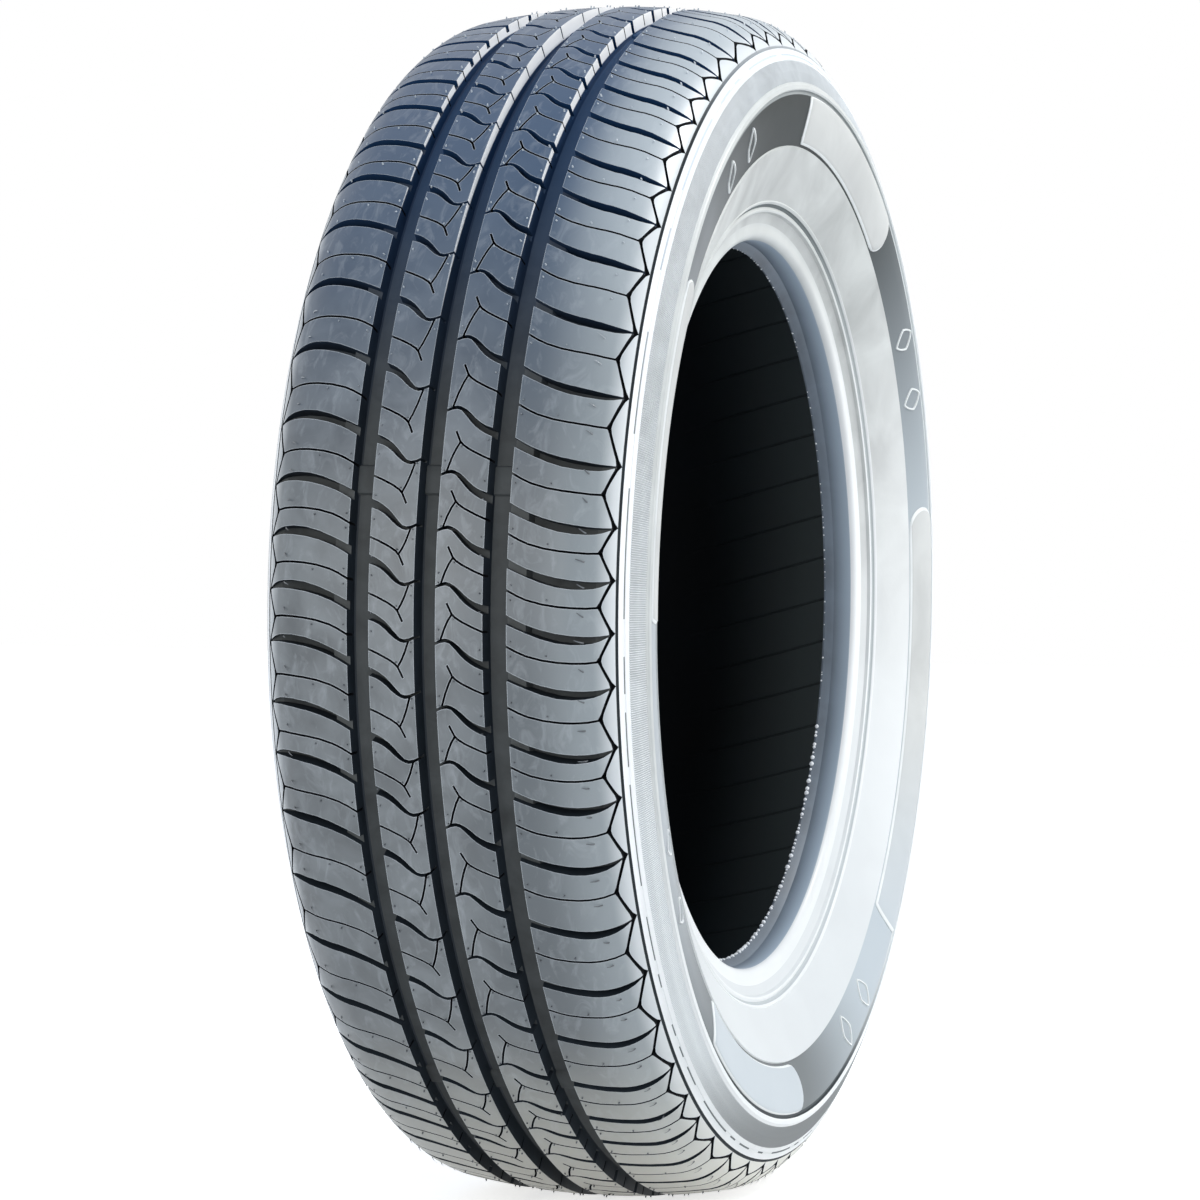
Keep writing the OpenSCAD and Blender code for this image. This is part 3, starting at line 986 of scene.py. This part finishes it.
vents = {
    "radius": 0.42,
    "height": 1.0,
    "heightSpread": (0.6, 1.15),
    "lean": 0.25,
    "hairLean": ((0.4, 1.8), (1.4, 3.2)),      # round the tread, and in towards its middle
    # stages: height, share of the radius, share of the lean
    "nub": [(-0.6, 1.0, 0), (0.3, 1.0, 0.1)],
    "hair": [(-0.6, 1.0, 0), (0.4, 0.9, 0.05), (1.1, 0.7, 0.45), (1.3, 0.5, 1)],
    "hairsBelow": 0.45,        # sine of the angle up to which some grow into hairs
    "clearance": 3,            # none grows this near the floor
    "usualRadius": 300,        # close enough to tell how low one stands
    # on each shoulder: across, up from the sipe's middle angle, 1 where it is a hair
    "shoulder": [(40.6, -2.6, 0), (40.6, -9.4, 0), (57, -2.9, 0), (72.9, -8.6, 1), (72.9, 4.6, 1)],
    # on each middle rib: across, up from the hook, share of the pitch added
    "rib": [(6.7, -3.9, 0), (6.7, 0.6, -1), (26.3, 5.2, 0), (26.3, -1.0, -0.43), (13.9, 2.4, -0.43)],
}


def buildVents():
    v = vents
    shapes = Shapes()
    random.seed(11)

    def post(angle, side, s, y, hair):
        low = treadRadius(y) * sin(radians(angle + side * degrees(s / v["usualRadius"])))
        if low < -casing["radius"] + v["clearance"]:
            return
        lean = [random.uniform(-v["lean"], v["lean"]) for _ in range(2)]
        stages = v["nub"] + [(v["height"] * random.uniform(*v["heightSpread"]), 0.75, 1)]
        if hair and sin(radians(angle)) < v["hairsBelow"]:
            lean = [-random.uniform(*span) for span in v["hairLean"]]
            stages = v["hair"]
        rows = []
        for h, width, t in stages:
            wide, s1, y1 = v["radius"] * width, s + t * lean[0], y + t * lean[1]
            rows.append([onTread(angle, side, s1 + wide * cos(k * pi / 3), y1 + wide * sin(k * pi / 3), h)
                         for k in range(6)])
        shapes.tube(rows)

    for angle, pitch, side in pitches:
        gap = casing["radius"] * radians(pitch)
        for y, s, hair in v["shoulder"]:
            post(angle - side * pitch / 2, side, s, y, hair)
        for y, s, share in v["rib"]:
            post(angle - side * pattern["ribShift"], side, s + share * gap, y, 0)
    return shapes.build("ventNubs", [finish["ventRubber"]], 50)


finishPiece(buildVents())

# small trimmed nibs along the bead toes

beadNibs = {
    "count": 330,
    "size": 0.62,
    "sizeSpread": (0.5, 1.3),
    "jitter": 0.4,             # share of a step
    "denseFrom": 200,          # angles between which they stand close and large
    "denseTo": 350,
    "denseSize": 1.7,
    "sparseSize": 0.7,
    "missing": 0.45,           # share left out elsewhere
    "section": [(-1, 0.35), (-0.4, 0.95), (0.4, 0.95), (1, 0.35)],     # along the toe, width there
}


def buildNibs():
    n = beadNibs
    r, y = casing["beadR"] - casing["toeDrop"] + 0.1, casing["toeY"] + 0.6
    shapes = Shapes()
    random.seed(7)
    for side in (-1, 1):
        for i in range(n["count"]):
            a = 360 * (i + random.uniform(-n["jitter"], n["jitter"])) / n["count"]
            dense = n["denseFrom"] < a % 360 < n["denseTo"]
            size = n["size"] * random.uniform(*n["sizeSpread"])
            size *= n["denseSize"] if dense else n["sparseSize"]
            if not dense and random.random() < n["missing"]:
                continue
            rows = []
            for t, width in n["section"]:
                turn, wide = degrees(size * t / r), size * width
                rows.append([onWheel(a + turn, side * (y + wide * cos(k * pi / 3)),
                                     r + wide * sin(k * pi / 3)) for k in range(6)])
            shapes.tube(rows)
    return shapes.build("beadNibs", [finish["nibWhite"]], 60)


finishPiece(buildNibs())

# faint slanting ridges that the curing bladder leaves inside

linerRidge = {
    "count": 74,
    "reach": 60,               # across, either way
    "slope": 16,               # degrees
    "width": 3.0,
    "height": 0.45,
    "root": 0.4,
    "above": 285,              # radius from which the liner's curve is followed
}


def buildLinerRidges():
    g = linerRidge
    inner = sorted([(y, r) for zone, run in halfProfile() if zone == "liner"
                    for r, y in run if r > g["above"]])
    shapes = Shapes()
    for i in range(g["count"]):
        rows = []
        for y in spread(-g["reach"], g["reach"], 12):
            r = lookUp(inner, abs(y))
            a = 360 * i / g["count"] + degrees(y * tan(radians(g["slope"])) / r)
            turn = degrees(g["width"] / 2 / r)
            rows.append([onWheel(a - turn, y, r + g["root"]), onWheel(a, y, r - g["height"]),
                         onWheel(a + turn, y, r + g["root"])])
        shapes.tube(rows)
    return shapes.build("linerRidges", [finish["linerRib"]], 60)


finishPiece(buildLinerRidges())
print("small pieces built")

# floor, backdrop and lamps

studio = {
    "floorSize": 60.0,         # metres
    "floorColour": 0.78,
    "floorGlow": 0.7,          # for the rays that see the background
    "ambient": 0.72,
    # light that comes from each height, from the horizon up to straight above
    "sky": [(0.0, (1.06, 1.03, 0.99)), (0.35, (1.08, 1.09, 1.09)), (0.6, (0.70, 0.82, 0.98)),
            (1.0, (0.46, 0.62, 0.90))],
    "sideShare": (1.15, 0.7),  # of that light, on the -Y side and on the +Y side
    "lamps": {                 # place in metres, size, power, colour
        "sideLamp": ((0.6, -2.5, 0.0), 2.2, 27, (1.0, 0.985, 0.96)),
        "frontLamp": ((-2.3, 0.4, 0.1), 1.8, 23, (1.0, 0.99, 0.97)),
        "topLamp": ((0.7, -1.3, 1.7), 0.6, 30, (1.0, 0.99, 0.97)),
    },
}


def pureWhiteFor(nodes, links):
    # 1 for rays that look at the background straight, in a gloss or through glass
    path = nodes.new("ShaderNodeLightPath")
    value = path.outputs["Is Camera Ray"]
    for other in ("Is Glossy Ray", "Is Transmission Ray"):
        either = nodes.new("ShaderNodeMath")
        either.operation = "MAXIMUM"
        links.new(value, either.inputs[0])
        links.new(path.outputs[other], either.inputs[1])
        value = either.outputs["Value"]
    return value


def buildFloor():
    size = studio["floorSize"] / 2
    mesh = bpy.data.meshes.new("floor")
    corners = [(-size, -size, 0), (size, -size, 0), (size, size, 0), (-size, size, 0)]
    mesh.from_pydata(corners, [], [(0, 1, 2, 3)])
    floor = bpy.data.objects.new("floor", mesh)
    floor.location.z = cadBox[0][2]
    bpy.context.scene.collection.objects.link(floor)
    mat = bpy.data.materials.new("paleFloor")
    mat.use_nodes = True
    nodes, links = mat.node_tree.nodes, mat.node_tree.links
    shader = nodes["Principled BSDF"]
    shader.inputs["Base Color"].default_value = (*[studio["floorColour"]] * 3, 1)
    shader.inputs["Roughness"].default_value = 0.9
    shader.inputs["Specular IOR Level"].default_value = 0.0
    shader.inputs["Emission Color"].default_value = (1, 1, 1, 1)
    lift = nodes.new("ShaderNodeMath")
    lift.operation = "MULTIPLY"
    lift.inputs[1].default_value = studio["floorGlow"]
    links.new(pureWhiteFor(nodes, links), lift.inputs[0])
    links.new(lift.outputs["Value"], shader.inputs["Emission Strength"])
    mesh.materials.append(mat)


def buildSky():
    world = bpy.data.worlds.new("studioWorld")
    bpy.context.scene.world = world
    world.use_nodes = True
    nodes, links = world.node_tree.nodes, world.node_tree.links
    background = nodes["Background"]
    place = nodes.new("ShaderNodeTexCoord")
    split = nodes.new("ShaderNodeSeparateXYZ")
    sky = nodes.new("ShaderNodeValToRGB")
    stops = sky.color_ramp.elements
    while len(stops) < len(studio["sky"]):
        stops.new(0.5)
    for stop, (height, colour) in zip(stops, studio["sky"]):
        stop.position = height
        stop.color = (*[c * studio["ambient"] for c in colour], 1)
    towards = nodes.new("ShaderNodeMapRange")
    towards.inputs["From Min"].default_value = -1
    towards.inputs["To Min"].default_value, towards.inputs["To Max"].default_value = studio["sideShare"]
    scale = nodes.new("ShaderNodeVectorMath")
    scale.operation = "SCALE"
    tint = nodes.new("ShaderNodeMix")
    tint.data_type = "RGBA"
    tint.inputs["B"].default_value = (1, 1, 1, 1)
    links.new(place.outputs["Generated"], split.inputs["Vector"])
    links.new(split.outputs["Z"], sky.inputs["Fac"])
    links.new(split.outputs["Y"], towards.inputs["Value"])
    links.new(sky.outputs["Color"], scale.inputs[0])
    links.new(towards.outputs["Result"], scale.inputs["Scale"])
    links.new(scale.outputs["Vector"], tint.inputs["A"])
    links.new(pureWhiteFor(nodes, links), tint.inputs["Factor"])
    links.new(tint.outputs["Result"], background.inputs["Color"])


def buildLamps():
    for name, (place, width, power, colour) in studio["lamps"].items():
        light = bpy.data.lights.new(name, "AREA")
        light.shape = "SQUARE"
        light.size = width
        light.energy = power
        light.color = colour
        lamp = bpy.data.objects.new(name, light)
        lamp.location = place
        lamp.rotation_euler = (Vector((0, 0, 0)) - Vector(place)).to_track_quat("-Z", "Y").to_euler()
        bpy.context.scene.collection.objects.link(lamp)


# camera: fitted to the outline and the grooves in a 1200 x 1200 frame

view = {
    "place": (-2.08400, -0.68060, -0.0094),    # metres
    "yaw": 75.3672,
    "pitch": -1.0909,
    "roll": 1.0156,
    "lens": 124.288,
    "sensor": 36,
    "shift": (-0.23725, 0.08710),
    "reach": 100,
}


def buildCamera():
    data = bpy.data.cameras.new("camera")
    data.lens = view["lens"]
    data.sensor_width = view["sensor"]
    data.shift_x, data.shift_y = view["shift"]
    data.clip_end = view["reach"]
    camera = bpy.data.objects.new("camera", data)
    yaw, pitch, roll = (radians(view[k]) for k in ("yaw", "pitch", "roll"))
    ahead = Vector((sin(yaw) * cos(pitch), cos(yaw) * cos(pitch), sin(pitch)))
    level = Vector((cos(yaw), -sin(yaw), 0))
    above = level.cross(ahead)
    right = cos(roll) * level + sin(roll) * above
    up = -sin(roll) * level + cos(roll) * above
    turn = Matrix((right, up, -ahead)).transposed().to_4x4()
    camera.matrix_world = Matrix.Translation(view["place"]) @ turn
    bpy.context.scene.collection.objects.link(camera)
    bpy.context.scene.camera = camera


buildFloor()
buildSky()
buildLamps()
buildCamera()
bpy.context.scene.view_settings.view_transform = "Standard"
print("studio and camera set")
